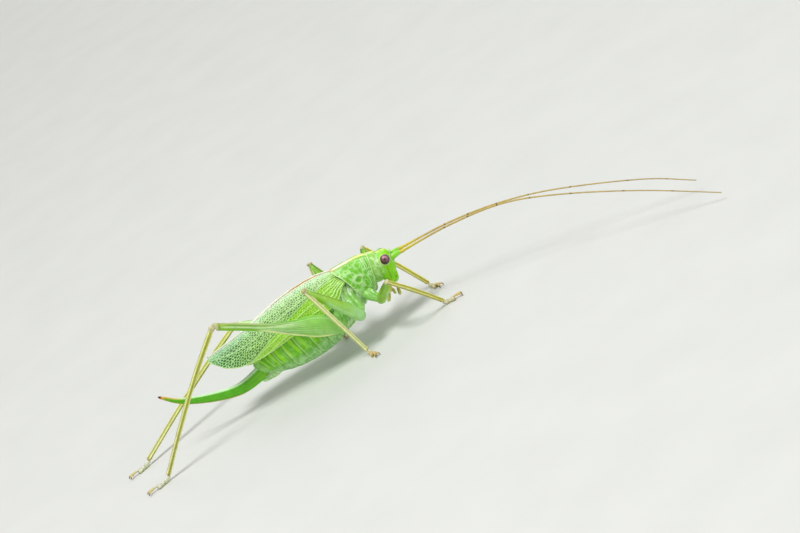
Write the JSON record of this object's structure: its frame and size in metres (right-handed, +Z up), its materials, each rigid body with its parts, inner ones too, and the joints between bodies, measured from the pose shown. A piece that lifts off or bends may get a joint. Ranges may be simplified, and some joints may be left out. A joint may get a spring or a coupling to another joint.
{
  "type": "long-horned grasshopper (oak bush-cricket, Meconema thalassinum, female), still life-size model",
  "caption": "Slender pale green long-horned grasshopper standing on its feet, feelers swept forward, sabre-shaped egg-layer behind; still life-size model.",
  "frame": {"origin": "middle of the ground that the whole insect with its feelers covers, at the level of the soles", "axes": "+X towards the head along the body, +Y to the insect's left, +Z up"},
  "size_m": [0.0512, 0.0228, 0.0091],
  "materials": {
    "face_green": "smooth lime green cuticle of the face, soft sheen",
    "saddle_green": "pale bluish-green wrinkled cuticle with a yellow stripe along the back",
    "body_green": "fresh green cuticle with paler ring edges",
    "side_green": "pale bluish-green soft cuticle",
    "wing_green": "pale green leathery wing with a raised net of veins",
    "thigh_green": "pale green thigh with fine lengthwise lines",
    "blade_green": "smooth bright green horn, orange-brown at the tip",
    "straw": "straw-yellow horn",
    "horn_brown": "straw-brown fine-ringed feeler",
    "pale_brown": "whitish to pale brown horn",
    "eye_purple": "glossy purple-brown faceted eye"
  },
  "bodies": {
    "root": {"abdomen": "body_green", "cercus_left": "straw", "cercus_right": "straw", "coxa_front_left": "side_green", "coxa_front_right": "side_green", "coxa_hind_left": "side_green", "coxa_hind_right": "side_green", "coxa_middle_left": "side_green", "coxa_middle_right": "side_green", "eye_left": "eye_purple", "eye_right": "eye_purple", "feeler_left_1": "horn_brown", "feeler_left_2": "horn_brown", "feeler_left_3": "horn_brown", "feeler_right_1": "horn_brown", "feeler_right_2": "horn_brown", "feeler_right_3": "horn_brown", "femur_front_left": "body_green", "femur_front_right": "body_green", "femur_hind_left": "thigh_green", "femur_hind_right": "thigh_green", "femur_middle_left": "body_green", "femur_middle_right": "body_green", "fore_wing_left": "wing_green", "fore_wing_right": "wing_green", "head": "face_green", "labial_palp_left": "straw", "labial_palp_right": "straw", "labrum": "face_green", "mandible_left": "face_green", "mandible_right": "face_green", "maxillary_palp_left": "straw", "maxillary_palp_right": "straw", "ovipositor_base": "blade_green", "ovipositor_blade": "blade_green", "pronotum": "saddle_green", "scape_left": "face_green", "scape_right": "face_green", "subgenital_plate": "side_green", "tarsus_front_left": "pale_brown", "tarsus_front_right": "pale_brown", "tarsus_hind_left": "pale_brown", "tarsus_hind_right": "pale_brown", "tarsus_middle_left": "pale_brown", "tarsus_middle_right": "pale_brown", "thorax": "side_green", "tibia_front_left": "straw", "tibia_front_right": "straw", "tibia_hind_left": "straw", "tibia_hind_right": "straw", "tibia_middle_left": "straw", "tibia_middle_right": "straw"}
  },
  "joints": []
}
